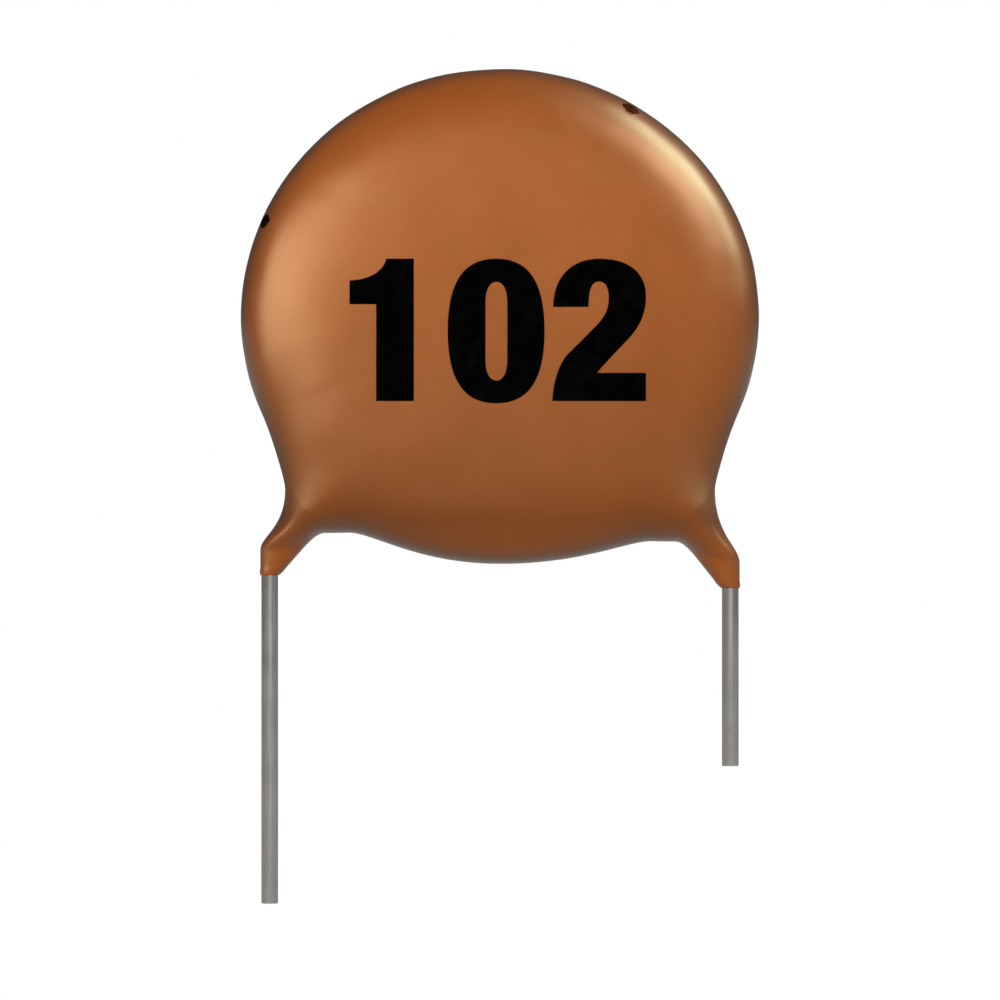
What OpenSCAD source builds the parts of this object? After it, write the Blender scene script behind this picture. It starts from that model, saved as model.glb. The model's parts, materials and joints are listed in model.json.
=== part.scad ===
// Ceramic disc capacitor: a silvered ceramic disc with two soldered wire leads,
// dipped in resin that runs a little way down each lead.
// X runs from lead to lead, Y from the printed face to the back, and Z up from the board.
// The origin is midway between the leads, on the plane where the lower resin run ends.

/* [Ceramic disc] */
// Diameter of the ceramic disc
disc_d = 12.4; // [11:0.1:14]
// Thickness of the ceramic disc
disc_t = 1.6; // [1:0.1:2.4]
// Bevel round the pressed edges of the disc
disc_bevel = 0.12; // [0.05:0.01:0.25]

/* [Electrodes] */
// Bare ceramic left round each silver electrode
electrode_margin = 0.5; // [0.3:0.1:1.2]
// Thickness of each fired silver electrode
electrode_t = 0.03; // [0.02:0.01:0.08]

/* [Leads] */
// Diameter of the tinned wire
lead_d = 0.45; // [0.4:0.05:0.6]
// Distance between the two lead axes
lead_pitch = 12.5; // [11.5:0.1:13.5]
// Length of the left lead below the board plane
left_lead_length = 8.56; // [3:0.05:30]
// Length of the right lead below the board plane
right_lead_length = 4.83; // [3:0.05:30]
// Angle at which each wire splays out from under the disc
lead_splay = 37; // [32:1:42]
// Height of each kink above the end of the resin on its lead
kink_rise = 0.5; // [0.4:0.05:0.7]
// Straight wire that stays inside the end of the resin
kink_bury = 0.1; // [0.05:0.05:0.15]
// Gap from the ceramic edge to the place where the wire turns flat
flat_gap = 0.35; // [0.3:0.05:0.6]
// Swelling of the wire where it is bent, on the radius
bend_swell = 0.004; // [0.003:0.001:0.01]

/* [Solder] */
// Length of each soldered stretch
solder_length = 4.4; // [3:0.1:5]
// Height of each solder mound above its electrode
solder_h = 0.6; // [0.55:0.05:0.8]
// Solder film between wire and electrode
solder_film = 0.03; // [0.02:0.01:0.06]
// Silver left bare outside each solder mound
solder_inset = 0.5; // [0.3:0.1:1]
// Solder that runs on past the inner end of the wire
solder_overrun = 0.6; // [0.3:0.1:1]

/* [Resin body] */
// Resin beyond the ceramic at the sides
side_cover = 0.83; // [0.6:0.01:1.1]
// Resin beyond the ceramic at the top and bottom
end_cover = 0.52; // [0.4:0.01:0.8]
// Resin over the wires on each face
wire_cover = 0.6; // [0.45:0.05:0.9]
// Radius at which each face turns over the rim
rim_r = 1.6; // [1.4:0.05:1.9]
// Height of the body's lowest point above the board plane
body_standoff = 0.65; // [0.4:0.05:1]

/* [Resin runs] */
// Angle below the middle where each side leaves the round of the body
shoulder_angle = 23; // [20:1:28]
// Height of the waist above the board plane
waist_h = 2.66; // [2.5:0.02:2.9]
// Distance of the waist inside its lead axis
waist_inset = 0.42; // [0.3:0.02:0.6]
// Half thickness of the resin at the waist
waist_half_t = 1.25; // [1.15:0.05:1.45]
// Height of the crotch above the board plane beside a run that ends there
crotch_h = 1.26; // [1.1:0.02:1.4]
// Share of a shorter run by which its crotch rises
crotch_follow = 0.66; // [0.4:0.02:0.9]
// Distance of the outer end of the crotch inside its lead axis
crotch_inset = 1.5; // [1.3:0.02:1.7]
// Length of the level stretch in the crotch
crotch_flat = 0.65; // [0.4:0.05:1]
// Height at which the outside of each run meets its lead
run_shoulder = 0.7; // [0.6:0.01:0.85]
// Resin round the kink of each wire
kink_cover = 0.28; // [0.22:0.01:0.36]
// Resin film where each run ends
run_film = 0.03; // [0.02:0.01:0.06]
// Height of the left run's end above the board plane
left_run_end = 0.35; // [0:0.05:0.5]
// Height of the right run's end above the board plane
right_run_end = 0; // [0:0.05:0.5]

/* [Hidden] */
$fn = 64;

left = -1;
right = 1;
disc_r = disc_d / 2;
lead_r = lead_d / 2;
electrode_r = disc_r - electrode_margin;
body_half_w = disc_r + side_cover;
body_half_h = disc_r + end_cover;
centre_z = body_standoff + body_half_h;
face_y = disc_t / 2 + electrode_t;
wire_y = face_y + solder_film + lead_r;
body_half_t = wire_y + lead_r + wire_cover;
kink_half_t = lead_r + kink_cover;
run_end_r = lead_r + run_film;
// Straight wire that reaches on into each bend
bend_lap = 0.02;

// Rings from the rim to the spine, and steps along each stretch of the outline
rings = 10;
top_steps = 64;
bottom_steps = 13;
stretch_steps = [11, 9, 4];
stations = stretch_steps[0] + stretch_steps[1] + stretch_steps[2];

// Left wire lies on the front face and right wire on the back
function run_end(side) = side == left ? left_run_end : right_run_end;
function lead_length(side) = side == left ? left_lead_length : right_lead_length;

function unit(v) = v / norm(v);
function lerp(a, b, t) = a + (b - a) * t;
function bezier(a, b, c, d, t) =
    a * pow(1 - t, 3) + b * 3 * t * pow(1 - t, 2) + c * 3 * t * t * (1 - t) + d * pow(t, 3);

// Path of a wire: straight up the pitch, out of plane past the rim, then flat on its electrode
function splay_dir(side) = [-side * sin(lead_splay), 0, cos(lead_splay)];
function kink(side) = [side * lead_pitch / 2, 0, run_end(side) + kink_rise];
function reach(side, r) =
    let (k = kink(side) - [0, 0, centre_z], b = k * splay_dir(side))
    -b - sqrt(b * b - k * k + r * r);
function on_face(side, s, y) = kink(side) + splay_dir(side) * s + [0, side * y, 0];
function flat_start(side) = on_face(side, reach(side, disc_r + flat_gap), wire_y);
function solder_start(side) = reach(side, electrode_r - solder_inset);
function wire_end(side) =
    on_face(side, solder_start(side) + solder_length - solder_overrun, wire_y);

// A straight length of wire between two points
module rod(a, b) {
    w = unit(b - a);
    u = unit(cross(w, abs(w[1]) < 0.9 ? [0, 1, 0] : [1, 0, 0]));
    v = cross(w, u);
    multmatrix([[u[0], v[0], w[0], a[0]], [u[1], v[1], w[1], a[1]], [u[2], v[2], w[2], a[2]]])
        cylinder(h = norm(b - a), r = lead_r);
}

// A bend from direction d1 to direction d2, its corner at p
module bend(p, d1, d2, tangent) {
    turn = acos(d1 * d2);
    radius = tangent / tan(turn / 2);
    n = unit(d2 - d1 * (d1 * d2));
    c = p - d1 * tangent + n * radius;
    u = -n;
    w = cross(u, d1);
    multmatrix([[u[0], d1[0], w[0], c[0]], [u[1], d1[1], w[1], c[1]], [u[2], d1[2], w[2], c[2]]])
        rotate_extrude(angle = turn)
            translate([radius, 0])
                circle(r = lead_r + bend_swell);
}

module lead(side) {
    up = [0, 0, 1];
    p1 = kink(side);
    p2 = flat_start(side);
    p3 = wire_end(side);
    d2 = unit(p2 - p1);
    d3 = unit(p3 - p2);
    t1 = kink_rise - kink_bury;
    t2 = t1 / tan(acos(up * d2) / 2) * tan(acos(d2 * d3) / 2);
    translate([p1[0], 0, -lead_length(side)])
        cylinder(h = lead_length(side) + p1[2] - t1 + bend_lap, r = lead_r);
    bend(p1, up, d2, t1);
    rod(p1 + d2 * (t1 - bend_lap), p2 - d2 * (t2 - bend_lap));
    bend(p2, d2, d3, t2);
    rod(p2 + d3 * (t2 - bend_lap), p3);
}

// A spindle of solder along the wire, of which the half above the silver is kept
solder_steps = 12;
function solder_r(t) = solder_h * pow(1 - pow(2 * t - 1, 2), 0.45);

module solder_mound(side) {
    a = on_face(side, solder_start(side), face_y);
    w = splay_dir(side);
    v = [0, side, 0];
    u = cross(v, w);
    profile = [for (i = [0 : solder_steps])
        [solder_r(i / solder_steps), solder_length * i / solder_steps]];
    multmatrix([[u[0], v[0], w[0], a[0]], [u[1], v[1], w[1], a[1]], [u[2], v[2], w[2], a[2]]])
        intersection() {
            rotate_extrude()
                polygon(profile);
            translate([-solder_h * 2, 0, -solder_h])
                cube([solder_h * 4, solder_h * 2, solder_length + solder_h * 2]);
        }
}

module solder(side) {
    difference() {
        solder_mound(side);
        lead(side);
    }
}

// Turns a shape made along Z so that it runs through the disc, from front to back
module across() {
    translate([0, 0, centre_z])
        rotate([-90, 0, 0])
            children();
}

module disc_solid() {
    across()
        rotate_extrude()
            polygon([
                [0, -disc_t / 2],
                [disc_r - disc_bevel, -disc_t / 2],
                [disc_r, disc_bevel - disc_t / 2],
                [disc_r, disc_t / 2 - disc_bevel],
                [disc_r - disc_bevel, disc_t / 2],
                [0, disc_t / 2]
            ]);
}

module electrode(side) {
    across()
        translate([0, 0, side == left ? -face_y : disc_t / 2])
            cylinder(h = electrode_t, r = electrode_r);
}

// Everything the resin was dipped over
module core() {
    disc_solid();
    electrode(left);
    electrode(right);
    solder_mound(left);
    solder_mound(right);
    lead(left);
    lead(right);
}

// Front view of the resin for one side: u runs outward from the middle, z up
function lead_u() = lead_pitch / 2;
function middle() = [0, centre_z];
function round_at(angle) =
    [body_half_w * cos(angle), centre_z + body_half_h * sin(angle)];
function round_dir(angle) =
    unit([body_half_w * sin(angle), -body_half_h * cos(angle)]);
function waist() = [lead_u() - waist_inset, waist_h];
function crotch_out(side) =
    [lead_u() - crotch_inset, crotch_h + run_end(side) * crotch_follow];
function crotch_in(side) = crotch_out(side) - [crotch_flat, 0];
function run_top(side) = [lead_u() + run_end_r, run_end(side) + run_shoulder];
function run_tip(side, out) = [lead_u() + out * run_end_r, run_end(side)];

// Shares of each stretch of the outline that the handles of its curve take
shoulder_pull = 0.2;
waist_pull = 0.15;
flare_pull = 0.58;
run_pull = 0.2;
crotch_pull = 0.27;
slant_pull = [0.47, 0.52];
under_pull = [0.15, 0.55];

// Outer edge of a side: round of the body to waist, waist to run, run to its end
function outer_edge(side, v) =
    let (s = round_at(-shoulder_angle), w = waist(), g = run_top(side))
    let (flank = norm(s - w), flare = norm(w - g))
    let (off = round_dir(-shoulder_angle) * shoulder_pull * flank)
    v < 1 ? bezier(s, s + off, w + [0, waist_pull * flank], w, v) :
    v < 2 ? bezier(w, w - [0, flare_pull * flare], g + [0, run_pull * flare], g, v - 1) :
    lerp(g, run_tip(side, 1), v - 2);

// Inner edge of a side: level crotch, then the slant down to the end of the run
function inner_edge(side, v) =
    let (a = crotch_in(side), b = crotch_out(side), e = run_tip(side, -1))
    let (drop = b[1] - e[1], over = e[0] - b[0])
    let (back = [-over * slant_pull[0], drop * slant_pull[1]])
    v < 1 ? lerp(a, b, v) :
    bezier(b, b + [over * crotch_pull, 0], e + back, e, (v - 1) / 2);

// Spine between the two edges, from the middle of the disc to the end of the run
function spine_share(v) = 1 - pow(1 - v, 2);
function spine(side, v) =
    v < 1 ? lerp(middle(), (waist() + crotch_out(side)) / 2, spine_share(v)) :
    (outer_edge(side, v) + inner_edge(side, v)) / 2;

// Half thickness of a run over its spine
function run_half_t(v) =
    v < 2 ? lerp(waist_half_t, kink_half_t, v - 1) : lerp(kink_half_t, run_end_r, v - 2);

// Columns of the surface: edge point, spine point, place along the run, spine number
function station(j) =
    let (a = stretch_steps[0], b = a + stretch_steps[1])
    j <= a ? j / a : j <= b ? 1 + (j - a) / stretch_steps[1] : 2 + (j - b) / stretch_steps[2];
function flip(side, p) = [side * p[0], p[1]];
function body_column(p) = [p, middle(), 0, 0];
function run_column(side, p, v, number) =
    [flip(side, p), flip(side, spine(side, v)), v, number];
function under_edge(side, t) =
    let (a = crotch_in(side), b = [0, body_standoff])
    bezier(a, a - [under_pull[0] * a[0], 0], b + [under_pull[1] * a[0], 0], b, t);

// Distance from q to the whole outline, evened out so that the faces have no creases.
// Each straight piece of the outline pulls by the integral of one over distance cubed.
function pull(q, a, b) =
    let (e = b - a, l = norm(e), s = (a - q) * e / l, g = (a - q) * (a - q))
    let (h = max(g - s * s, 0.000001))
    ((s + l) / sqrt(h + pow(s + l, 2)) - s / sqrt(h + s * s)) / h;
function depth(q, outline) =
    let (n = len(outline))
    let (pulls = [for (i = [0 : n - 1]) pull(q, outline[i], outline[(i + 1) % n])])
    sqrt(2 / (pulls * [for (p = pulls) 1]));

// Half thickness of the body at a depth in from its outline
function body_rise(d) = sqrt(1 - exp(-2 * rim_r * d / pow(body_half_t, 2)));
// How far a place along a run has gone over from the body's form to the run's own
function run_share(v) =
    let (t = min(max((v - 0.45) / 0.75, 0), 1))
    t * t * (3 - 2 * t);

module skin() {
    columns = [
        for (i = [0 : top_steps])
            body_column(round_at(180 + shoulder_angle
                                 - (180 + 2 * shoulder_angle) * i / top_steps)),
        for (j = [1 : stations])
            run_column(right, outer_edge(right, station(j)), station(j), j),
        for (j = [stations : -1 : 1])
            run_column(right, inner_edge(right, station(j)), station(j), j),
        for (i = [0 : bottom_steps])
            body_column(flip(right, under_edge(right, i / bottom_steps))),
        for (i = [bottom_steps - 1 : -1 : 0])
            body_column(flip(left, under_edge(left, i / bottom_steps))),
        for (j = [1 : stations])
            run_column(left, inner_edge(left, station(j)), station(j), stations + j),
        for (j = [stations : -1 : 1])
            run_column(left, outer_edge(left, station(j)), station(j), stations + j)
    ];
    n = len(columns);
    outline = [for (c = columns) c[0]];
    full = body_half_t / body_rise(depth(middle(), outline));

    // Half thickness at q, a share t of the way from the rim to the spine
    function thick(q, t, v) =
        let (w = run_share(v))
        (w < 1 ? (1 - w) * full * body_rise(depth(q, outline)) : 0)
        + (w > 0 ? w * run_half_t(v) * sqrt(1 - pow(1 - t, 2)) : 0);
    function at(q, y) = [q[0], y, q[1]];

    spines = concat(
        [[middle(), 0]],
        [for (side = [right, left]) for (j = [1 : stations])
            [flip(side, spine(side, station(j))), station(j)]]
    );
    m = len(spines);
    front = concat(
        [for (k = [1 : rings - 1]) for (c = columns)
            let (t = 1 - cos(90 * k / rings), q = lerp(c[0], c[1], t))
            at(q, -thick(q, t, c[2]))],
        [for (p = spines) at(p[0], -thick(p[0], 1, p[1]))]
    );
    points = concat(
        [for (p = outline) at(p, 0)],
        front,
        [for (p = front) [p[0], -p[1], p[2]]]
    );

    // Number of the point in column i at ring k, on the front or the back
    function number(i, k, back) =
        k == 0 ? i :
        n + back * len(front) + (k < rings ? n * (k - 1) + i : n * (rings - 1) + columns[i][3]);
    faces = [
        for (back = [0, 1]) for (i = [0 : n - 1]) for (k = [0 : rings - 1])
            let (o = (i + 1) % n)
            let (a = number(i, k, back), b = number(o, k, back))
            let (c = number(o, k + 1, back), d = number(i, k + 1, back))
            let (split = outline[i][0] > 0 ? [[a, b, d], [b, c, d]] : [[a, b, c], [a, c, d]])
            for (f = c == d ? [[a, b, c]] : split)
                back == 0 ? f : [f[2], f[1], f[0]]
    ];
    polyhedron(points, faces, convexity = 6);
}

module coating() {
    color([0.55, 0.28, 0.12])
        difference() {
            skin();
            core();
        }
}

module ceramic_disc() {
    color([0.85, 0.78, 0.66])
        disc_solid();
}

module front_electrode() {
    color([0.82, 0.82, 0.8])
        electrode(left);
}

module rear_electrode() {
    color([0.82, 0.82, 0.8])
        electrode(right);
}

module left_lead() {
    color([0.62, 0.6, 0.57])
        lead(left);
}

module right_lead() {
    color([0.62, 0.6, 0.57])
        lead(right);
}

module front_solder() {
    color([0.7, 0.7, 0.72])
        solder(left);
}

module rear_solder() {
    color([0.7, 0.7, 0.72])
        solder(right);
}

coating();
ceramic_disc();
front_electrode();
rear_electrode();
left_lead();
right_lead();
front_solder();
rear_solder();
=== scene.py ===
"""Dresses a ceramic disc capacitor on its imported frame: resin, tinned wires, ink and what lies inside."""

import json
import logging
import math
from dataclasses import dataclass, field
from enum import Enum

import bpy
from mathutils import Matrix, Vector

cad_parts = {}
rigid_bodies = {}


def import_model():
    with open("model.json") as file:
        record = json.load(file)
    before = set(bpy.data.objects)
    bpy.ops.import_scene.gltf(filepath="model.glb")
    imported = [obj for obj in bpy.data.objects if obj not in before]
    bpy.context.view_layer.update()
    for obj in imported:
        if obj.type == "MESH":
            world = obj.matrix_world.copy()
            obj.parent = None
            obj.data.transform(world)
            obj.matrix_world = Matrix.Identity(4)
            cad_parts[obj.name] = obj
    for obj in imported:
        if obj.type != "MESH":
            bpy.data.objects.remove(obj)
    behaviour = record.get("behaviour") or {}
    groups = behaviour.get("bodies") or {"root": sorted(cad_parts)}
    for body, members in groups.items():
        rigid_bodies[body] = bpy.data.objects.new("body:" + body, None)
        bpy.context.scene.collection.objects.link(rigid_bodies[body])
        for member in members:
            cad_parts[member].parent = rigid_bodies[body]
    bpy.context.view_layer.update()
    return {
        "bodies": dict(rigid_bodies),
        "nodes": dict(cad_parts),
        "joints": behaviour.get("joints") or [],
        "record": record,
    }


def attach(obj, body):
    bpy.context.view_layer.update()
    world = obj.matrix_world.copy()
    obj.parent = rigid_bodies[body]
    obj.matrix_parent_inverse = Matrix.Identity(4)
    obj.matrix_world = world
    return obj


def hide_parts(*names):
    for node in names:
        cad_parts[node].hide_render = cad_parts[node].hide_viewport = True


MM = 0.001
BODY = "root"
LOG = logging.getLogger("capacitor")

Pair = tuple[float, float]
Point = tuple[float, float]
Triple = tuple[float, float, float]
Colour = tuple[float, float, float]
Frame = dict[str, dict]

# Points closer than this, in metres, are one point
TOUCH = 0.001 * MM
# Faces that meet at less than this angle are shaded as one surface
SMOOTH_ANGLE = math.radians(40)
# Noise values between which most of a noise pattern lies
NOISE_RANGE: Pair = (0.3, 0.7)
WHITE: Colour = (1, 1, 1)


class Side(Enum):
    """The side of the body on which a lead leaves it, as the sign of its place along X."""

    LEFT = -1
    RIGHT = 1


class Slot(Enum):
    """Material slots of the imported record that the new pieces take."""

    RESIN = "resin"
    WIRE = "tinned_wire"


class Reach(Enum):
    """What a lamp lights: the whole part, the resin with its ink, the bare wires, or the stage."""

    PART = "whole_part"
    RESIN = "resin_only"
    WIRES = "wires_only"
    STAGE = "stage_only"


class Gives(Enum):
    """What a lamp gives: a fill without a reflection, or a reflection alone."""

    FILL = "fill"
    SHINE = "shine"


def pick(obj: bpy.types.Object) -> None:
    """Makes one object the only selected and the active one.

    Args:
        obj: The object that the next operators act on.
    """
    if bpy.context.object and bpy.context.object.mode != "OBJECT":
        bpy.ops.object.mode_set(mode="OBJECT")
    bpy.ops.object.select_all(action="DESELECT")
    obj.select_set(True)
    bpy.context.view_layer.objects.active = obj


def apply_modifiers(obj: bpy.types.Object) -> None:
    """Applies every modifier of an object in its order.

    Args:
        obj: The object whose modifiers become mesh.
    """
    pick(obj)
    for modifier in list(obj.modifiers):
        bpy.ops.object.modifier_apply(modifier=modifier.name)


def settle(obj: bpy.types.Object) -> None:
    """Moves an object's place, turn and scale into its mesh, so that it ends unmoved at the origin."""
    pick(obj)
    bpy.ops.object.transform_apply(location=True, rotation=True, scale=True)


def enlist(obj: bpy.types.Object, slot: Slot, *nodes: str) -> None:
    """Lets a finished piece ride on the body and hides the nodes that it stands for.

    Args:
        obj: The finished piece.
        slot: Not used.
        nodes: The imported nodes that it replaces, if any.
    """
    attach(obj, BODY)
    if nodes:
        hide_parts(*nodes)
    LOG.info("%s: %d faces", obj.name, len(obj.data.polygons))


class NodeSheet:
    """The node tree of one material, with short ways to add nodes and join them."""

    def __init__(self, name: str) -> None:
        """Starts a material with its usual shader.

        Args:
            name: The material's name.
        """
        self.material = bpy.data.materials.new(name)
        self.material.use_nodes = True
        self.tree = self.material.node_tree
        self.shader = self.tree.nodes["Principled BSDF"]
        coordinates = self.add("ShaderNodeTexCoord")
        self.place = coordinates.outputs["Object"]
        self.normal = coordinates.outputs["Normal"]

    def add(self, kind: str, **settings: object) -> bpy.types.Node:
        """Adds a node and sets its properties.

        Args:
            kind: The node's type name.
            settings: Properties of the node by name.

        Returns:
            The new node.
        """
        node = self.tree.nodes.new(kind)
        for name, value in settings.items():
            setattr(node, name, value)
        return node

    def join(self, source: bpy.types.NodeSocket, target: bpy.types.NodeSocket) -> None:
        """Joins an output to an input."""
        self.tree.links.new(source, target)

    def set(self, **values: object) -> None:
        """Sets constant inputs of the shader, with spaces of their names written as underscores."""
        for name, value in values.items():
            self.shader.inputs[name.replace("_", " ")].default_value = value

    def millimetres(self, stretch: Triple = (1, 1, 1)) -> bpy.types.NodeSocket:
        """Gives object coordinates in millimetres.

        Args:
            stretch: How many times finer a pattern runs along each axis.

        Returns:
            The coordinate socket.
        """
        mapping = self.add("ShaderNodeMapping")
        mapping.inputs["Scale"].default_value = [s / MM for s in stretch]
        self.join(self.place, mapping.inputs["Vector"])
        return mapping.outputs["Vector"]

    def noise(self, scale: float, detail: float, place: bpy.types.NodeSocket) -> bpy.types.NodeSocket:
        """Gives a noise pattern.

        Args:
            scale: Waves per millimetre.
            detail: Octaves of finer noise.
            place: The coordinate socket that it reads.

        Returns:
            The noise value socket.
        """
        node = self.add("ShaderNodeTexNoise")
        node.inputs["Scale"].default_value = scale
        node.inputs["Detail"].default_value = detail
        self.join(place, node.inputs["Vector"])
        return node.outputs["Fac"]

    def ramp(self, source: bpy.types.NodeSocket, stops: list[tuple[float, Colour]],
             soft: bool = False) -> bpy.types.NodeSocket:
        """Turns a value into a colour.

        Args:
            source: The value socket.
            stops: Places along the ramp with their linear colours.
            soft: Whether the colours ease into each other.

        Returns:
            The colour socket.
        """
        node = self.add("ShaderNodeValToRGB")
        node.color_ramp.interpolation = "EASE" if soft else "LINEAR"
        elements = node.color_ramp.elements
        while len(elements) < len(stops):
            elements.new(stops[len(elements) - 1][0])
        for element, (position, colour) in zip(elements, stops):
            element.position = position
            element.color = (*colour, 1)
        self.join(source, node.inputs["Fac"])
        return node.outputs["Color"]

    def spread(self, source: bpy.types.NodeSocket, low: float, high: float) -> bpy.types.NodeSocket:
        """Maps the middle of a noise value to a range.

        Args:
            source: The noise value socket.
            low: Result at the low end of NOISE_RANGE.
            high: Result at its high end.

        Returns:
            The value socket.
        """
        node = self.add("ShaderNodeMapRange")
        node.inputs["From Min"].default_value, node.inputs["From Max"].default_value = NOISE_RANGE
        node.inputs["To Min"].default_value = low
        node.inputs["To Max"].default_value = high
        self.join(source, node.inputs["Value"])
        return node.outputs["Result"]

    def times(self, a: bpy.types.NodeSocket, b: bpy.types.NodeSocket) -> bpy.types.NodeSocket:
        """Multiplies two colours.

        Args:
            a: The first colour.
            b: The second colour.

        Returns:
            The colour socket.
        """
        node = self.add("ShaderNodeMix", data_type="RGBA", blend_type="MULTIPLY")
        node.inputs["Factor"].default_value = 1
        self.join(a, node.inputs["A"])
        self.join(b, node.inputs["B"])
        return node.outputs["Result"]

    def edge_on(self, steep: float, gentle: float, shade: Colour) -> bpy.types.NodeSocket:
        """Gives a painted shade where the surface turns away from both faces of the disc, and white on the
        faces.

        Args:
            steep: Share of the normal along Y up to which the shade is full.
            gentle: Share of the normal along Y from which there is none.
            shade: The shade's colour.

        Returns:
            The colour socket.
        """
        lean = self.add("ShaderNodeSeparateXYZ")
        self.join(self.normal, lean.inputs["Vector"])
        size = self.add("ShaderNodeMath", operation="ABSOLUTE")
        self.join(lean.outputs["Y"], size.inputs[0])
        return self.ramp(size.outputs["Value"], [(steep, shade), (gentle, WHITE)], soft=True)

    def rise(self, axis: str, start: float, end: float) -> bpy.types.NodeSocket:
        """Gives an even rise from 0 to 1 between two distances from the origin, on both sides of it.

        Args:
            axis: X, Y or Z.
            start: The distance in millimetres where it is 0.
            end: The distance where it is 1, which may be the smaller one.

        Returns:
            The value socket.
        """
        place = self.add("ShaderNodeSeparateXYZ")
        self.join(self.millimetres(), place.inputs["Vector"])
        size = self.add("ShaderNodeMath", operation="ABSOLUTE")
        self.join(place.outputs[axis], size.inputs[0])
        rise = self.add("ShaderNodeMapRange")
        rise.inputs["From Min"].default_value = start
        rise.inputs["From Max"].default_value = end
        self.join(size.outputs["Value"], rise.inputs["Value"])
        return rise.outputs["Result"]

    def larger(self, a: bpy.types.NodeSocket, b: bpy.types.NodeSocket) -> bpy.types.NodeSocket:
        """Gives the larger of two values.

        Args:
            a: The first value.
            b: The second value.

        Returns:
            The value socket.
        """
        node = self.add("ShaderNodeMath", operation="MAXIMUM")
        self.join(a, node.inputs[0])
        self.join(b, node.inputs[1])
        return node.outputs["Value"]

    def mean(self, a: bpy.types.NodeSocket, b: bpy.types.NodeSocket) -> bpy.types.NodeSocket:
        """Gives the mean of two values.

        Args:
            a: The first value.
            b: The second value.

        Returns:
            The value socket.
        """
        both = self.add("ShaderNodeMath", operation="ADD")
        self.join(a, both.inputs[0])
        self.join(b, both.inputs[1])
        half = self.add("ShaderNodeMath", operation="DIVIDE")
        half.inputs[1].default_value = 2
        self.join(both.outputs["Value"], half.inputs[0])
        return half.outputs["Value"]

    def fade(self, shade: bpy.types.NodeSocket, share: bpy.types.NodeSocket) -> bpy.types.NodeSocket:
        """Lets a shade fade to white.

        Args:
            shade: The colour socket.
            share: How much of the shade is left.

        Returns:
            The colour socket.
        """
        node = self.add("ShaderNodeMix", data_type="RGBA")
        node.inputs["A"].default_value = (*WHITE, 1)
        self.join(share, node.inputs["Factor"])
        self.join(shade, node.inputs["B"])
        return node.outputs["Result"]

    def bump(self, height: bpy.types.NodeSocket, strength: float, depth: float,
             under: bpy.types.NodeSocket | None = None) -> bpy.types.NodeSocket:
        """Turns a height into a bumped normal.

        Args:
            height: The height socket.
            strength: Share of the bump.
            depth: Depth in millimetres.
            under: The normal that it lies on, if any.

        Returns:
            The normal socket.
        """
        node = self.add("ShaderNodeBump")
        node.inputs["Strength"].default_value = strength
        node.inputs["Distance"].default_value = depth * MM
        self.join(height, node.inputs["Height"])
        if under:
            self.join(under, node.inputs["Normal"])
        return node.outputs["Normal"]


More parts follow.
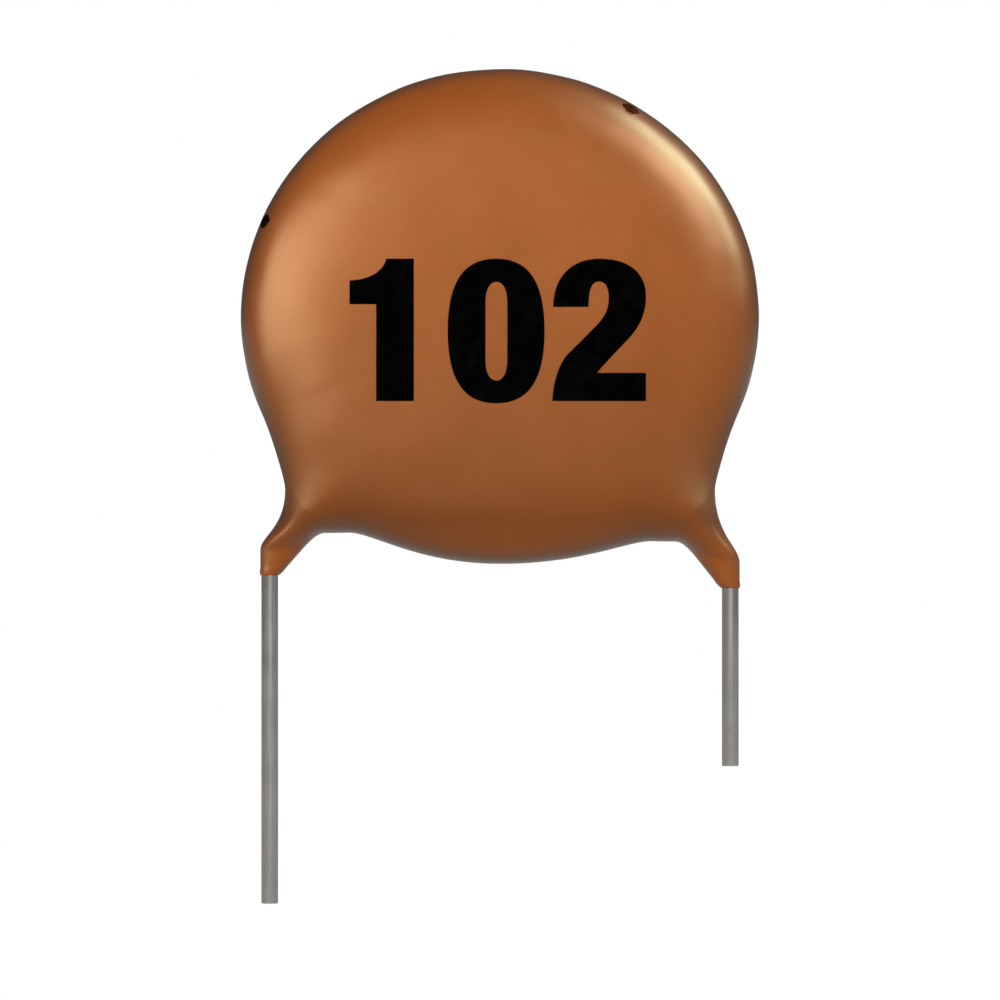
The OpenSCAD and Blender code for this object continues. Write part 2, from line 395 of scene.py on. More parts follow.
@dataclass(frozen=True)
class ResinFinish:
    """Brown dipped resin, half glossy and cloudy, with painted shade darkening it towards the bottom and
    along the rim.

    In all finishes a noise is given by its waves per millimetre and octaves, and a bump by its strength and
    its depth in millimetres. Stops are noise values at which a colour is reached, and rim_z, rim_x,
    bottom_shade_z and matt_top are distances from the origin in millimetres.
    """

    deep: Colour = (0.325, 0.076, 0.008)
    middle: Colour = (0.355, 0.085, 0.010)
    light: Colour = (0.385, 0.097, 0.013)
    clouds: Pair = (0.32, 3)
    cloud_stops: Triple = (0.3, 0.5, 0.72)
    speck: Colour = (0.95, 0.95, 0.95)
    specks: Pair = (7, 4)
    speck_stops: Pair = (0.3, 0.65)
    # Painted shade: the colour is darkened where the surface turns edge-on along the rim, fading out over
    # the legs
    rim: Colour = (0.36, 0.345, 0.29)
    rim_lean: Pair = (0.12, 0.68)
    rim_z: Pair = (1.4, 3.4)
    rim_x: Pair = (5.4, 4.2)
    # Painted shade, darker towards the bottom: white high on the face, the next colour low down, and the
    # runs' colour on the legs
    runs: Colour = (0.92, 0.92, 0.90)
    painted_bottom_shade: Colour = (0.60, 0.575, 0.52)
    bottom_shade_z: Pair = (0.9, 8.8)
    bottom_shade_share: float = 0.11
    roughness: Pair = (0.33, 0.38)
    smears: Pair = (1.1, 4)
    matt: Colour = (1.75, 1.75, 1.75)
    matt_top: float = 6.0
    matt_share: tuple[float, ...] = (0.30, 0.42, 0.58, 1.0)
    specular: float = 0.8
    sheen: Colour = (1.0, 0.74, 0.43)
    waves: Pair = (0.6, 1)
    wave_bump: Pair = (0.15, 0.05)
    peel: Pair = (4.5, 3)
    peel_bump: Pair = (0.25, 0.008)

    def material(self) -> bpy.types.Material:
        """Builds the resin.

        Returns:
            The material.
        """
        sheet = NodeSheet("dipped_resin")
        place = sheet.millimetres()
        tones = zip(self.cloud_stops, (self.deep, self.middle, self.light))
        colour = sheet.ramp(sheet.noise(*self.clouds, place), list(tones))
        dots = zip(self.speck_stops, (self.speck, WHITE))
        speck = sheet.ramp(sheet.noise(*self.specks, place), list(dots))
        # Painted shade along the rim, where the surface turns away from both faces, faded out over the legs
        disc = sheet.larger(sheet.rise("Z", *self.rim_z), sheet.rise("X", *self.rim_x))
        rim = sheet.fade(sheet.edge_on(*self.rim_lean, self.rim), disc)
        # Painted shade, darker towards the bottom and a little lighter again on the legs
        bottom_shade = sheet.ramp(sheet.rise("Z", *self.bottom_shade_z), [
            (0, self.runs), (self.bottom_shade_share, self.painted_bottom_shade), (1, WHITE)])
        shade = sheet.times(rim, bottom_shade)
        sheet.join(sheet.times(sheet.times(colour, speck), shade), sheet.shader.inputs["Base Color"])
        gloss = sheet.spread(sheet.noise(*self.smears, place), *self.roughness)
        sheet.join(sheet.times(gloss, self.waist(sheet)), sheet.shader.inputs["Roughness"])
        waves = sheet.bump(sheet.noise(*self.waves, place), *self.wave_bump)
        peel = sheet.bump(sheet.noise(*self.peel, place), *self.peel_bump, waves)
        sheet.join(peel, sheet.shader.inputs["Normal"])
        sheet.set(Specular_IOR_Level=self.specular, Specular_Tint=(*self.sheen, 1))
        return sheet.material

    def waist(self, sheet: NodeSheet) -> bpy.types.NodeSocket:
        """Gives how many times more matt the resin is where it was drawn in above the runs."""
        stops = zip(self.matt_share, (WHITE, self.matt, self.matt, WHITE))
        return sheet.ramp(sheet.rise("Z", 0, self.matt_top), list(stops), soft=True)


@dataclass(frozen=True)
class ScarFinish:
    """Bare resin inside a break of the rim."""

    name: str
    low: Colour
    high: Colour
    grain: Pair = (14, 4)
    low_at: float = 0.35
    high_at: float = 0.7
    bump: Pair = (0.6, 0.03)
    roughness: float = 0.9
    specular: float = 0.02

    def material(self) -> bpy.types.Material:
        """Builds the scar.

        Returns:
            The material.
        """
        sheet = NodeSheet(self.name)
        grain = sheet.noise(*self.grain, sheet.millimetres())
        colour = sheet.ramp(grain, [(self.low_at, self.low), (self.high_at, self.high)])
        sheet.join(colour, sheet.shader.inputs["Base Color"])
        sheet.join(sheet.bump(grain, *self.bump), sheet.shader.inputs["Normal"])
        sheet.set(Roughness=self.roughness, Specular_IOR_Level=self.specular)
        return sheet.material


@dataclass(frozen=True)
class InkFinish:
    """Black stamping ink, thin and slightly uneven."""

    black: Colour = (0.0008, 0.0008, 0.0008)
    worn: Colour = (0.003, 0.0027, 0.0024)
    blots: Pair = (3, 5)
    black_at: float = 0.4
    worn_at: float = 0.75
    roughness: Pair = (0.6, 0.75)
    specular: float = 0.0
    grain: Pair = (12, 3)
    bump: Pair = (0.2, 0.004)

    def material(self) -> bpy.types.Material:
        """Builds the ink.

        Returns:
            The material.
        """
        sheet = NodeSheet("stamped_ink")
        place = sheet.millimetres()
        blots = sheet.noise(*self.blots, place)
        colour = sheet.ramp(blots, [(self.black_at, self.black), (self.worn_at, self.worn)])
        sheet.join(colour, sheet.shader.inputs["Base Color"])
        sheet.join(sheet.spread(blots, *self.roughness), sheet.shader.inputs["Roughness"])
        sheet.join(sheet.bump(sheet.noise(*self.grain, place), *self.bump), sheet.shader.inputs["Normal"])
        sheet.set(Specular_IOR_Level=self.specular)
        return sheet.material


@dataclass(frozen=True)
class WireFinish:
    """Drawn and tinned wire with streaks along its length and dull patches."""

    dull: Colour = (0.36, 0.345, 0.325)
    bright: Colour = (0.50, 0.48, 0.455)
    edge: Colour = (0.35, 0.33, 0.30)
    streaks: Pair = (1.6, 4)
    along: Triple = (9, 9, 0.35)
    patches: Pair = (1.3, 3)
    dull_at: float = 0.36
    bright_at: float = 0.62
    roughness: Pair = (0.34, 0.44)
    metallic: float = 1.0
    bump: Pair = (0.25, 0.006)

    def material(self) -> bpy.types.Material:
        """Builds the tinned wire.

        Returns:
            The material.
        """
        sheet = NodeSheet("tinned_wire")
        streaks = sheet.noise(*self.streaks, sheet.millimetres(self.along))
        patches = sheet.noise(*self.patches, sheet.millimetres())
        mean = sheet.mean(streaks, patches)
        colour = sheet.ramp(mean, [(self.dull_at, self.dull), (self.bright_at, self.bright)])
        sheet.join(colour, sheet.shader.inputs["Base Color"])
        sheet.join(sheet.spread(patches, *self.roughness), sheet.shader.inputs["Roughness"])
        sheet.join(sheet.bump(streaks, *self.bump), sheet.shader.inputs["Normal"])
        sheet.set(Metallic=self.metallic, Specular_Tint=(*self.edge, 1))
        return sheet.material


@dataclass(frozen=True)
class FiredFinish:
    """A fired or molten inner surface: ceramic, silver paint or solder."""

    name: str
    low: Colour
    high: Colour
    metallic: float
    roughness: Pair
    grain: Pair
    bump: Pair
    low_at: float = 0.35
    high_at: float = 0.65

    def material(self) -> bpy.types.Material:
        """Builds the inner finish.

        Returns:
            The material.
        """
        sheet = NodeSheet(self.name)
        grain = sheet.noise(*self.grain, sheet.millimetres())
        colour = sheet.ramp(grain, [(self.low_at, self.low), (self.high_at, self.high)])
        sheet.join(colour, sheet.shader.inputs["Base Color"])
        sheet.join(sheet.spread(grain, *self.roughness), sheet.shader.inputs["Roughness"])
        sheet.join(sheet.bump(grain, *self.bump), sheet.shader.inputs["Normal"])
        sheet.set(Metallic=self.metallic)
        return sheet.material


@dataclass
class Scar:
    """A small break in the skin of the resin, cut out of it, in millimetres, with its lean in radians."""

    name: str
    centre: Triple
    size: Triple
    lean: float
    finish: ScarFinish
    jags: float = 0.09
    jag_mix: float = 0.5
    seed: int = 7
    splits: int = 3

    def cutter(self) -> bpy.types.Object:
        """Builds the rough lump that is cut away.

        Returns:
            The lump.
        """
        bpy.ops.object.select_all(action="DESELECT")
        bpy.ops.mesh.primitive_ico_sphere_add(subdivisions=self.splits, radius=MM / 2)
        lump = bpy.context.object
        lump.name = self.name
        lump.data.materials.append(self.finish.material())
        bpy.ops.object.mode_set(mode="EDIT")
        bpy.ops.mesh.select_all(action="SELECT")
        bpy.ops.transform.vertex_random(
            offset=self.jags * MM, uniform=self.jag_mix, normal=self.jag_mix, seed=self.seed)
        bpy.ops.object.mode_set(mode="OBJECT")
        lump.scale = self.size
        lump.rotation_euler = (0, self.lean, 0)
        lump.location = [c * MM for c in self.centre]
        settle(lump)
        return lump


@dataclass
class ResinShell:
    """The dipped resin over the disc, with its runs down the leads, its faint waves and its two breaks.

    All lengths, and the heights between which the waves and the flow fade in or out, are in millimetres.
    """

    node: str = "coating"
    lead_x: float = 6.25
    hole_r: float = 0.24
    hole_top: float = 0.4
    merge: float = 0.0005
    roundness: float = 1.0
    flow_from: Pair = (0.4, 1.2)
    flow_to: Pair = (3.2, 4.4)
    flow_share: float = 0.5
    flow_steps: int = 4
    wave: float = 0.05
    wave_size: float = 1.7
    wave_from: Pair = (1.6, 3.2)
    wave_octaves: int = 1
    wave_middle: float = 0.5
    chips: list[Scar] = field(default_factory=lambda: [
        Scar("rim_chip", centre=(-6.38, -0.56, 9.95), size=(0.32, 0.80, 0.42), lean=0.4,
             finish=ScarFinish("chipped_resin", low=(0.006, 0.004, 0.003), high=(0.035, 0.014, 0.006))),
        Scar("rim_nick", centre=(3.56, -0.62, 12.98), size=(0.50, 0.70, 0.30), lean=0.58,
             finish=ScarFinish("rubbed_resin", low=(0.11, 0.034, 0.009), high=(0.19, 0.056, 0.013))),
    ])

    def build(self, frame: Frame) -> bpy.types.Object:
        """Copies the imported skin, waves and chips it.

        Args:
            frame: The loaded frame.

        Returns:
            The finished shell.
        """
        pick(frame["nodes"][self.node])
        bpy.ops.object.duplicate()
        shell = bpy.context.object
        shell.name = "resin_shell"
        bpy.ops.object.parent_clear(type="CLEAR_KEEP_TRANSFORM")
        bpy.ops.mesh.customdata_custom_splitnormals_clear()
        shell.data.materials.clear()
        shell.data.materials.append(ResinFinish().material())
        self.weld(shell)
        self.ripple(shell)
        self.chip(shell)
        pick(shell)
        bpy.ops.object.shade_smooth_by_angle(angle=SMOOTH_ANGLE)
        enlist(shell, Slot.RESIN, self.node)
        return shell

    def weld(self, shell: bpy.types.Object) -> None:
        """Joins the loose triangles of the copy.

        Args:
            shell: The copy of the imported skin.
        """
        pick(shell)
        bpy.ops.object.mode_set(mode="EDIT")
        bpy.ops.mesh.select_all(action="SELECT")
        bpy.ops.mesh.remove_doubles(threshold=self.merge * MM)
        bpy.ops.object.mode_set(mode="OBJECT")

    def outer_skin(self, shell: bpy.types.Object) -> list[int]:
        """Rounds off the skin that shows, without the walls round what lies inside.

        Args:
            shell: The welded copy.

        Returns:
            Numbers of the vertices of the skin.
        """
        pick(shell)
        mesh = shell.data
        for edge in mesh.edges:
            ends = [mesh.vertices[i].co for i in edge.vertices]
            level = abs(ends[0].z - ends[1].z) < TOUCH
            low = max(ends[0].z, ends[1].z) < self.hole_top * MM
            tight = all(math.hypot(abs(p.x) - self.lead_x * MM, p.y) < self.hole_r * MM for p in ends)
            edge.use_seam = level and low and tight
        top = max(mesh.vertices, key=lambda v: v.co.z).index
        bpy.ops.object.mode_set(mode="EDIT")
        bpy.ops.mesh.select_mode(type="VERT")
        bpy.ops.mesh.select_all(action="DESELECT")
        bpy.ops.object.mode_set(mode="OBJECT")
        mesh.vertices[top].select = True
        bpy.ops.object.mode_set(mode="EDIT")
        bpy.ops.mesh.select_linked(delimit={"SEAM"})
        bpy.ops.mesh.subdivide(number_cuts=1, smoothness=self.roundness)
        bpy.ops.object.mode_set(mode="OBJECT")
        return [v.index for v in mesh.vertices if v.select]

    def ripple(self, shell: bpy.types.Object) -> None:
        """Lets the skin flow smooth and moves it by faint waves, and leaves the run ends on the wires.

        Args:
            shell: The welded copy.
        """
        skin = self.outer_skin(shell)
        flow = self.graded(shell, "flow", skin, self.flow_from, self.flow_to)
        ease = shell.modifiers.new("flow", "SMOOTH")
        ease.factor = self.flow_share
        ease.iterations = self.flow_steps
        ease.vertex_group = flow.name
        swell = self.graded(shell, "skin", skin, self.wave_from)
        clouds = bpy.data.textures.new("resin_waves", "CLOUDS")
        clouds.noise_basis = "IMPROVED_PERLIN"
        clouds.noise_scale = self.wave_size * MM
        clouds.noise_depth = self.wave_octaves
        waves = shell.modifiers.new("waves", "DISPLACE")
        waves.texture = clouds
        waves.texture_coords = "LOCAL"
        waves.strength = self.wave * MM
        waves.mid_level = self.wave_middle
        waves.vertex_group = swell.name
        apply_modifiers(shell)

    def graded(self, shell: bpy.types.Object, name: str, skin: list[int], rise: Pair,
               fall: Pair = (math.inf, math.inf)) -> bpy.types.VertexGroup:
        """Gathers the skin in a group whose weight grows with the height and fades again further up.

        Args:
            shell: The welded copy.
            name: The group's name.
            skin: Numbers of the vertices of the skin.
            rise: Heights in millimetres where the weight starts and where it is full.
            fall: Heights where it starts to fade and where it is gone, never unless given.

        Returns:
            The group.
        """
        group = shell.vertex_groups.new(name=name)
        for number in skin:
            height = shell.data.vertices[number].co.z / MM
            up = (height - rise[0]) / (rise[1] - rise[0])
            down = 1 if height < fall[0] else (fall[1] - height) / (fall[1] - fall[0])
            group.add([number], min(max(min(up, down), 0), 1), "REPLACE")
        return group

    def chip(self, shell: bpy.types.Object) -> None:
        """Cuts the chips out of the rim.

        Args:
            shell: The rippled skin.
        """
        for scar in self.chips:
            lump = scar.cutter()
            cut = shell.modifiers.new(scar.name, "BOOLEAN")
            cut.operation = "DIFFERENCE"
            cut.object = lump
            cut.solver = "EXACT"
            cut.material_mode = "TRANSFER"
            apply_modifiers(shell)
            bpy.data.objects.remove(lump)


@dataclass
class Lead:
    """A tinned wire from its cut tip up through the resin run and flat across an electrode.

    Its lengths are in millimetres and its splay, the lean of the stretch inside the resin, in degrees.
    """

    side: Side
    length: float
    run_end: float
    radius: float = 0.225
    pitch: float = 12.5
    kink_rise: float = 0.5
    kink_bury: float = 0.1
    splay: float = 37.0
    rim_reach: float = 6.55
    end_reach: float = 5.2
    end_length: float = 3.8
    centre_z: float = 7.37
    face_y: float = 1.085
    segments: int = 48
    bend_steps: int = 10
    cut_bevel: float = 0.03
    bevel_steps: int = 3

    def along(self, reach: float, y: float, extra: float = 0) -> Vector:
        """Gives a point of the splayed path.

        Args:
            reach: Radius of the circle about the disc that the path has met.
            y: Distance from the middle plane.
            extra: Length beyond that circle.

        Returns:
            The point in millimetres.
        """
        heading = Vector((-self.side.value * math.sin(math.radians(self.splay)), 0,
                          math.cos(math.radians(self.splay))))
        start = self.kink() - Vector((0, 0, self.centre_z))
        across = start.dot(heading)
        travel = -across - math.sqrt(across**2 - start.length_squared + reach**2) + extra
        return self.kink() + heading * travel + Vector((0, self.side.value * y, 0))

    def kink(self) -> Vector:
        """Gives the corner of the first bend in millimetres."""
        return Vector((self.side.value * self.pitch / 2, 0, self.run_end + self.kink_rise))

    def build(self, finish: bpy.types.Material) -> bpy.types.Object:
        """Draws the wire out from its cut tip.

        Args:
            finish: The tinned wire material.

        Returns:
            The finished lead.
        """
        up = Vector((0, 0, 1))
        first = self.kink()
        second = self.along(self.rim_reach, self.face_y)
        last = self.along(self.end_reach, self.face_y, self.end_length)
        slope = (second - first).normalized()
        flat = (last - second).normalized()
        tangent = self.kink_rise - self.kink_bury
        bend_r = tangent / math.tan(up.angle(slope) / 2)
        flat_tangent = bend_r * math.tan(slope.angle(flat) / 2)
        tip = Vector((first.x, 0, -self.length))
        bpy.ops.object.select_all(action="DESELECT")
        bpy.ops.mesh.primitive_circle_add(
            vertices=self.segments, radius=self.radius * MM, fill_type="NGON", location=tip * MM)
        lead = bpy.context.object
        lead.name = f"{self.side.name.lower()}_wire"
        settle(lead)
        bpy.ops.object.mode_set(mode="EDIT")
        bpy.ops.mesh.select_mode(type="FACE")
        bpy.ops.mesh.select_all(action="SELECT")
        self.draw((first - up * tangent - tip) * MM)
        self.turn(first, up, slope, tangent, bend_r)
        self.draw((second - slope * flat_tangent - first - slope * tangent) * MM)
        self.turn(second, slope, flat, flat_tangent, bend_r)
        self.draw((last - second - flat * flat_tangent) * MM)
        bpy.ops.mesh.select_all(action="SELECT")
        bpy.ops.mesh.remove_doubles(threshold=TOUCH)
        bpy.ops.mesh.normals_make_consistent(inside=False)
        self.dress_tip(lead, tip.z)
        bpy.ops.object.shade_smooth_by_angle(angle=SMOOTH_ANGLE)
        lead.data.materials.append(finish)
        enlist(lead, Slot.WIRE, f"{self.side.name.lower()}_lead")
        return lead

    def draw(self, path: Vector) -> None:
        """Extrudes the end of the wire straight on by a move in metres."""
        bpy.ops.mesh.extrude_region_move(TRANSFORM_OT_translate={"value": path})

    def turn(self, corner: Vector, before: Vector, after: Vector, tangent: float, bend_r: float) -> None:
        """Spins the end of the wire round a bend.

        Args:
            corner: Where the straight lengths would meet, in millimetres.
            before: Heading before the bend.
            after: Heading after the bend.
            tangent: Length from the bend's start to its corner.
            bend_r: Radius of the bend.
        """
        inward = (after - before * before.dot(after)).normalized()
        centre = corner - before * tangent + inward * bend_r
        bpy.ops.mesh.spin(
            steps=self.bend_steps, angle=before.angle(after), center=centre * MM, axis=inward.cross(before))

    def dress_tip(self, lead: bpy.types.Object, tip_z: float) -> None:
        """Bevels the sheared edge of the tip.

        Args:
            lead: The wire, in edit mode.
            tip_z: Height of the tip in millimetres.
        """
        bpy.ops.mesh.select_all(action="DESELECT")
        bpy.ops.object.mode_set(mode="OBJECT")
        for polygon in lead.data.polygons:
            polygon.select = polygon.center.z < tip_z * MM + TOUCH
        bpy.ops.object.mode_set(mode="EDIT")
        bpy.ops.mesh.bevel(offset=self.cut_bevel * MM, segments=self.bevel_steps, affect="EDGES")
        bpy.ops.object.mode_set(mode="OBJECT")


@dataclass(frozen=True)
class Knot:
    """A point of a digit's outline with the handles of its curve, all in millimetres."""

    at: Point
    before: Point | None = None
    after: Point | None = None


def oval(centre: Point, half: Point, straight: float, fullness: float) -> list[Knot]:
    """Gives an upright oval outline, with straight sides if asked.

    Args:
        centre: The middle.
        half: Half the width and half the height.
        straight: Half the length of the straight sides.
        fullness: How far its curves fill their corners, 0.55 being round.

    Returns:
        The knots in order.
    """
    (x, y), (w, h) = centre, half
    pull_x, pull_y = w * fullness, (h - straight) * fullness
    top, bottom = y + straight, y - straight
    return [
        Knot((x + w, bottom), (x + w, bottom - pull_y), None),
        Knot((x + w, top), None, (x + w, top + pull_y)),
        Knot((x, y + h), (x + pull_x, y + h), (x - pull_x, y + h)),
        Knot((x - w, top), (x - w, top + pull_y), None),
        Knot((x - w, bottom), None, (x - w, bottom - pull_y)),
        Knot((x, y - h), (x - pull_x, y - h), (x + pull_x, y - h)),
    ]


@dataclass
class Digit:
    """One stamped digit, drawn as closed outlines from its lower left corner, in millimetres."""

    name: str
    left: float
    outlines: list[list[Knot]]
    curve_steps: int = 14

    def build(self, stamp: "ValueStamp", shell: bpy.types.Object,
              ink: bpy.types.Material) -> bpy.types.Object:
        """Draws the digit and lays it on the face.

        Args:
            stamp: The stamp that it belongs to.
            shell: The resin that it lies on.
            ink: The ink material.

        Returns:
            The finished digit.
        """
        bpy.ops.object.select_all(action="DESELECT")
        bpy.ops.curve.primitive_bezier_circle_add()
        drawing = bpy.context.object
        drawing.name = self.name
        curve = drawing.data
        curve.dimensions = "2D"
        curve.fill_mode = "BOTH"
        curve.splines.clear()
        for outline in self.outlines:
            self.trace(curve, outline)
        bpy.ops.object.convert(target="MESH")
        digit = bpy.context.object
        digit.location = (self.left * MM, -stamp.start_y * MM, stamp.baseline * MM)
        digit.rotation_euler = (math.radians(90), 0, 0)
        settle(digit)
        self.refine(stamp)
        wrap = digit.modifiers.new("lie_on_face", "SHRINKWRAP")
        wrap.target = shell
        wrap.wrap_method = "PROJECT"
        wrap.use_project_y = True
        wrap.use_positive_direction = True
        wrap.use_negative_direction = False
        wrap.offset = stamp.lift * MM
        coat = digit.modifiers.new("ink", "SOLIDIFY")
        coat.thickness = stamp.thickness * MM
        coat.offset = 1
        apply_modifiers(digit)
        bpy.ops.object.shade_smooth_by_angle(angle=SMOOTH_ANGLE)
        digit.data.materials.clear()
        digit.data.materials.append(ink)
        enlist(digit, Slot.RESIN)
        return digit

    def trace(self, curve: bpy.types.Curve, outline: list[Knot]) -> None:
        """Adds one closed outline to a flat curve.

        Args:
            curve: The flat curve.
            outline: The knots in order.
        """
        spline = curve.splines.new("BEZIER")
        spline.use_cyclic_u = True
        spline.resolution_u = self.curve_steps
        spline.bezier_points.add(len(outline) - 1)
        for number, (point, knot) in enumerate(zip(spline.bezier_points, outline)):
            back, on = outline[number - 1].at, outline[(number + 1) % len(outline)].at
            point.handle_left_type = "FREE"
            point.handle_right_type = "FREE"
            point.co = (*[c * MM for c in knot.at], 0)
            point.handle_left = self.handle(knot.at, knot.before, back)
            point.handle_right = self.handle(knot.at, knot.after, on)

    def handle(self, at: Point, set_by_hand: Point | None, neighbour: Point) -> Triple:
        """Gives a handle's place, a third of the way to the neighbour where none is set.

        Args:
            at: The knot.
            set_by_hand: The handle, if the outline curves there.
            neighbour: The next knot on that side.

        Returns:
            The place in metres.
        """
        third = tuple(a + (n - a) / 3 for a, n in zip(at, neighbour))
        x, y = set_by_hand or third
        return (x * MM, y * MM, 0)

    def refine(self, stamp: "ValueStamp") -> None:
        """Splits the flat digit finely enough to follow the face.

        Args:
            stamp: The stamp that sets how fine.
        """
        bpy.ops.object.mode_set(mode="EDIT")
        bpy.ops.mesh.select_all(action="SELECT")
        bpy.ops.mesh.remove_doubles(threshold=TOUCH)
        bpy.ops.mesh.quads_convert_to_tris()
        bpy.ops.mesh.subdivide(number_cuts=stamp.cuts)
        bpy.ops.object.mode_set(mode="OBJECT")


@dataclass
class ValueStamp:
    """The value stamped on the front face in three plain digits, with its sizes in millimetres."""

    baseline: float = 5.067
    height: float = 3.843
    start_y: float = 4.0
    lift: float = 0.009
    thickness: float = 0.004
    cuts: int = 11

    def one(self) -> Digit:
        """Draws the 1, a stem with a hollowed flag.

        Returns:
            The digit.
        """
        stem, right, brow, chin = 0.722, 1.740, 3.254, 2.616
        outline = [
            Knot((stem, 0)),
            Knot((right, 0)),
            Knot((right, self.height)),
            Knot((1.002, self.height), None, (0.90, 3.52)),
            Knot((0, brow), (0.62, 3.29), None),
            Knot((0, chin)),
            Knot((stem, chin)),
        ]
        return Digit("digit_one", left=-4.067, outlines=[outline])

    def zero(self) -> Digit:
        """Draws the 0, a full oval round a slim slot.

        Returns:
            The digit.
        """
        outer = oval(centre=(1.3085, 1.889), half=(1.3085, 1.954), straight=0, fullness=0.676)
        slot = oval(centre=(1.3155, 1.884), half=(0.2945, 1.3325), straight=0.78, fullness=0.62)
        return Digit("digit_zero", left=-1.413, outlines=[outer, slot])

    def two(self) -> Digit:
        """Draws the 2, a hook over a diagonal and a foot.

        Returns:
            The digit.
        """
        foot, width = 0.757, 2.531
        outline = [
            Knot((0, 0), (0.02, 0.52), None),
            Knot((width, 0)),
            Knot((width, foot)),
            Knot((1.208, foot), None, (1.38, 0.98)),
            Knot((2.027, 1.647), (1.78, 1.39), (2.35, 1.98)),
            Knot((width, 2.823), (width, 2.36), (width, 3.46)),
            Knot((1.283, self.height), (2.07, self.height), (0.48, self.height)),
            Knot((0.023, 2.542), (0.03, 3.32), None),
            Knot((0.979, 2.542), None, (0.979, 2.86)),
            Knot((1.254, 3.225), (1.01, 3.225), (1.44, 3.225)),
            Knot((1.523, 2.76), (1.523, 3.08), (1.523, 2.47)),
            Knot((1.197, 2.048), (1.40, 2.26), (0.96, 1.80)),
            Knot((0.452, 1.303), (0.66, 1.50), (0.19, 1.05)),
        ]
        return Digit("digit_two", left=1.414, outlines=[outline])

    def build(self, shell: bpy.types.Object) -> list[bpy.types.Object]:
        """Stamps the digits on the face of the resin and gives them back."""
        ink = InkFinish().material()
        return [digit.build(self, shell, ink) for digit in (self.one(), self.zero(), self.two())]


@dataclass
class Element:
    """The disc, its electrodes and its solder, which the resin covers."""

    finishes: dict[str, FiredFinish] = field(default_factory=lambda: {
        "ceramic_disc": FiredFinish(
            "fired_ceramic", low=(0.50, 0.42, 0.30), high=(0.62, 0.54, 0.40),
            metallic=0, roughness=(0.55, 0.75), grain=(9, 5), bump=(0.4, 0.012)),
        "electrode": FiredFinish(
            "fired_silver", low=(0.60, 0.59, 0.56), high=(0.74, 0.73, 0.70),
            metallic=1, roughness=(0.38, 0.55), grain=(22, 5), bump=(0.4, 0.006)),
        "solder": FiredFinish(
            "bright_solder", low=(0.42, 0.42, 0.43), high=(0.56, 0.56, 0.57),
            metallic=1, roughness=(0.18, 0.34), grain=(3, 5), bump=(0.4, 0.02)),
    })

    def dress(self, frame: Frame) -> None:
        """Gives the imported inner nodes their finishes.

        Args:
            frame: The loaded frame.
        """
        for ending, finish in self.finishes.items():
            material = finish.material()
            for name, node in frame["nodes"].items():
                if name.endswith(ending):
                    node.data.materials.clear()
                    node.data.materials.append(material)
                    LOG.info("%s: %s", name, finish.name)


@dataclass(frozen=True)
class Lamp:
    """A soft panel lamp that faces the body, its place and size in millimetres and its power in watts."""

    name: str
    place: Triple
    size: Pair
    power: float
    gives: Gives
    reach: Reach = Reach.PART
    colour: Colour = WHITE

    def build(self, target: Vector) -> None:
        """Hangs the lamp.

        Args:
            target: The point that it faces, in metres.
        """
        data = bpy.data.lights.new(self.name, "AREA")
        data.shape = "RECTANGLE"
        data.size, data.size_y = (s * MM for s in self.size)
        data.energy = self.power
        data.color = self.colour
        lamp = bpy.data.objects.new(self.name, data)
        bpy.context.scene.collection.objects.link(lamp)
        lamp.visible_glossy = self.gives is Gives.SHINE
        lamp.visible_diffuse = self.gives is Gives.FILL
        lamp.light_linking.receiver_collection = bpy.data.collections[self.reach.value]
        lamp.location = Vector(self.place) * MM
        lamp.rotation_euler = (target - lamp.location).to_track_quat("-Z", "Y").to_euler()


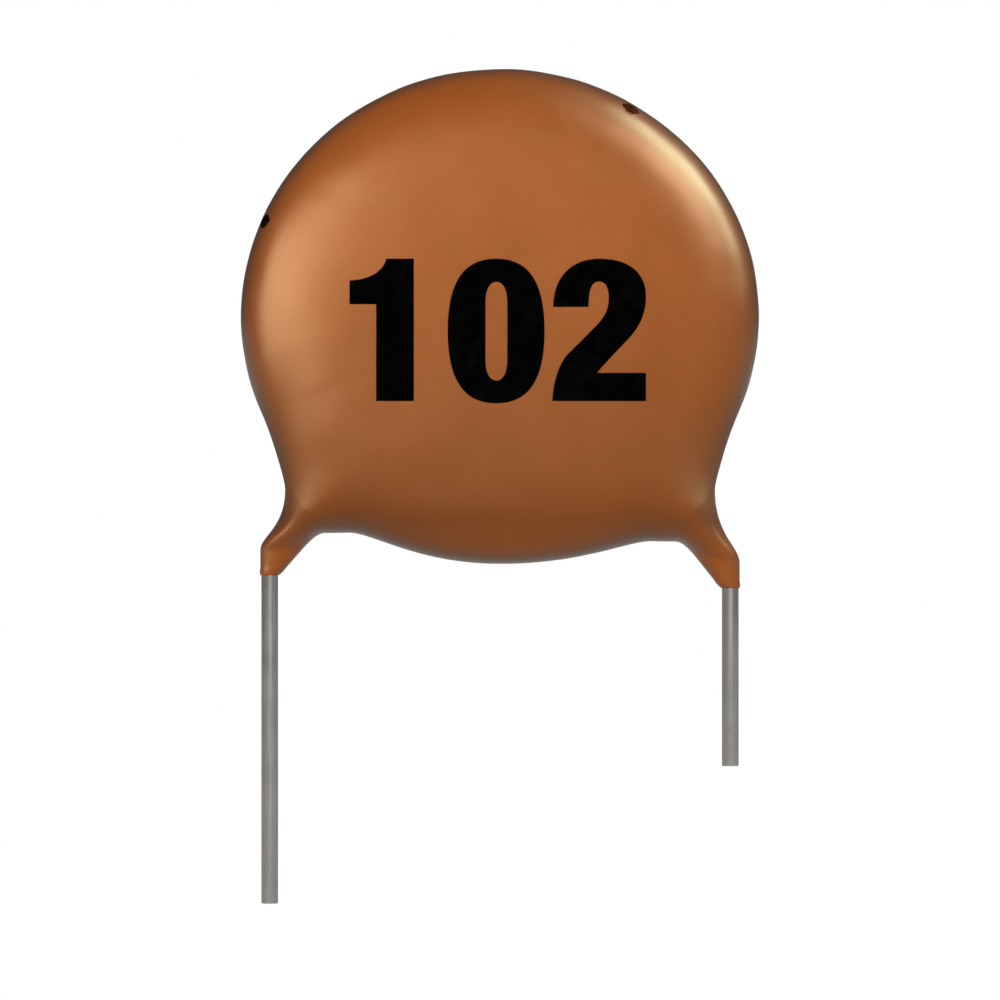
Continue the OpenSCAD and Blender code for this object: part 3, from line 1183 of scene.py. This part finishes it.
@dataclass
class Studio:
    """Plain pale floor and backdrop, soft lamps and a level camera square on the printed face.

    All places and lengths are in millimetres.
    """

    floor_z: float = -14.0
    floor_half: float = 1200.0
    sweep_y: Pair = (75.0, 600.0)
    sweep_half: float = 45.0
    sweep_lift: float = 0.03
    pale: Colour = (0.80, 0.80, 0.80)
    bounce: Colour = (0.09, 0.09, 0.09)
    roughness: float = 0.9
    specular: float = 0.1
    air: float = 0.15
    aim_z: float = 5.0
    frame_width: float = 27.14
    camera_y: float = -400.0
    camera_z: float = 2.39
    near_clip: float = 10.0
    sensor: float = 36.0
    lamps: tuple[Lamp, ...] = (
        Lamp("left_panel", (-134, -116, 14), (190, 130), 0.50, Gives.SHINE, Reach.RESIN),
        Lamp("front_panel", (-40, -260, 70), (160, 140), 0.53, Gives.FILL),
        Lamp("right_panel", (105, -180, 50), (120, 120), 0.10, Gives.FILL),
        Lamp("glow_panel", (117, -84, 109), (90, 90), 0.24, Gives.SHINE, Reach.RESIN),
        Lamp("rim_panel", (86, 2, 98), (60, 60), 0.155, Gives.SHINE, Reach.RESIN, (0.72, 1, 0.92)),
        Lamp("side_panel", (108, 4, 62), (50, 50), 0.065, Gives.SHINE, Reach.RESIN, (0.80, 1, 0.90)),
        Lamp("wire_panel", (25, -300, 0), (260, 200), 0.20, Gives.SHINE, Reach.WIRES),
        Lamp("back_panel", (150, 290, 200), (220, 180), 0.80, Gives.FILL),
        Lamp("floor_panel", (0, 0, 600), (1500, 1500), 7.5, Gives.FILL, Reach.STAGE),
    )

    def build(self, lit: dict[Reach, list[bpy.types.Object]]) -> None:
        """Sets the stage, the lamps, the air and the camera.

        Args:
            lit: The pieces of the part that a lamp of each reach lights.
        """
        stage = [self.floor(), self.sweep()]
        for reach, pieces in (lit | {Reach.STAGE: stage}).items():
            group = bpy.data.collections.new(reach.value)
            for piece in pieces:
                group.objects.link(piece)
        for lamp in self.lamps:
            lamp.build(Vector((0, 0, self.aim_z * MM)))
        world = bpy.data.worlds.new("plain_air")
        world.use_nodes = True
        background = world.node_tree.nodes["Background"]
        background.inputs["Color"].default_value = (*WHITE, 1)
        background.inputs["Strength"].default_value = self.air
        bpy.context.scene.world = world
        bpy.context.scene.view_settings.view_transform = "Standard"
        self.camera()

    def camera(self) -> None:
        """Sets up a level camera at the height of the middle of the picture."""
        data = bpy.data.cameras.new("camera")
        data.sensor_width = self.sensor
        data.lens = self.sensor * abs(self.camera_y) / self.frame_width
        data.clip_start = self.near_clip * MM
        camera = bpy.data.objects.new("camera", data)
        bpy.context.scene.collection.objects.link(camera)
        camera.location = (0, self.camera_y * MM, self.camera_z * MM)
        camera.rotation_euler = (math.radians(90), 0, 0)
        bpy.context.scene.camera = camera

    def seen(self, sheet: NodeSheet) -> bpy.types.NodeSocket:
        """Gives 1 for what the camera sees, straight or in a reflection, and 0 for the light that bounces.

        Args:
            sheet: The material's node sheet.

        Returns:
            The value socket.
        """
        path = sheet.add("ShaderNodeLightPath")
        seen = path.outputs["Is Camera Ray"]
        for ray in ("Is Glossy Ray", "Is Transmission Ray"):
            seen = sheet.larger(seen, path.outputs[ray])
        return seen

    def floor(self) -> bpy.types.Object:
        """Lays the pale floor well below the longer wire.

        Returns:
            The floor.
        """
        bpy.ops.object.select_all(action="DESELECT")
        bpy.ops.mesh.primitive_plane_add(
            size=2 * self.floor_half * MM, location=(0, 0, self.floor_z * MM))
        floor = bpy.context.object
        floor.name = "floor"
        settle(floor)
        sheet = NodeSheet("pale_floor")
        colour = sheet.ramp(self.seen(sheet), [(0, self.bounce), (1, self.pale)])
        sheet.join(colour, sheet.shader.inputs["Base Color"])
        sheet.set(Roughness=self.roughness, Specular_IOR_Level=self.specular)
        floor.data.materials.append(sheet.material)
        return floor

    def sweep(self) -> bpy.types.Object:
        """Lays a white sheet behind the body, from the floor up to a far backdrop.

        Returns:
            The sheet.
        """
        near, far = self.sweep_y
        middle_y = (near + far) / 2 * MM
        width = 2 * self.sweep_half * MM
        bpy.ops.object.select_all(action="DESELECT")
        bpy.ops.mesh.primitive_plane_add(size=1)
        sweep = bpy.context.object
        sweep.name = "backdrop"
        sweep.scale = (width, (far - near) * MM, 1)
        sweep.location = (0, middle_y, (self.floor_z + self.sweep_lift) * MM)
        settle(sweep)
        bpy.ops.object.mode_set(mode="EDIT")
        bpy.ops.mesh.select_mode(type="EDGE")
        bpy.ops.mesh.select_all(action="DESELECT")
        bpy.ops.object.mode_set(mode="OBJECT")
        for edge in sweep.data.edges:
            edge.select = all(sweep.data.vertices[i].co.y > middle_y for i in edge.vertices)
        bpy.ops.object.mode_set(mode="EDIT")
        bpy.ops.mesh.extrude_region_move(TRANSFORM_OT_translate={"value": (0, 0, width)})
        bpy.ops.object.mode_set(mode="OBJECT")
        sheet = NodeSheet("white_backdrop")
        sheet.set(Base_Color=(*self.pale, 1), Roughness=self.roughness, Specular_IOR_Level=self.specular)
        white = sheet.add("ShaderNodeEmission")
        blend = sheet.add("ShaderNodeMixShader")
        sheet.join(self.seen(sheet), blend.inputs["Fac"])
        sheet.join(sheet.shader.outputs["BSDF"], blend.inputs[1])
        sheet.join(white.outputs["Emission"], blend.inputs[2])
        sheet.join(blend.outputs["Shader"], sheet.tree.nodes["Material Output"].inputs["Surface"])
        sweep.data.materials.append(sheet.material)
        return sweep


def main() -> None:
    """Loads the frame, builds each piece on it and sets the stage."""
    logging.basicConfig(level=logging.INFO, format="%(name)s: %(message)s")
    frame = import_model()
    Element().dress(frame)
    shell = ResinShell().build(frame)
    wire = WireFinish().material()
    leads = [
        Lead(Side.LEFT, length=8.56, run_end=0.35).build(wire),
        Lead(Side.RIGHT, length=4.83, run_end=0.0).build(wire),
    ]
    digits = ValueStamp().build(shell)
    skin = [shell, *digits]
    Studio().build({Reach.PART: skin + leads, Reach.RESIN: skin, Reach.WIRES: leads})


if __name__ == "__main__":
    main()
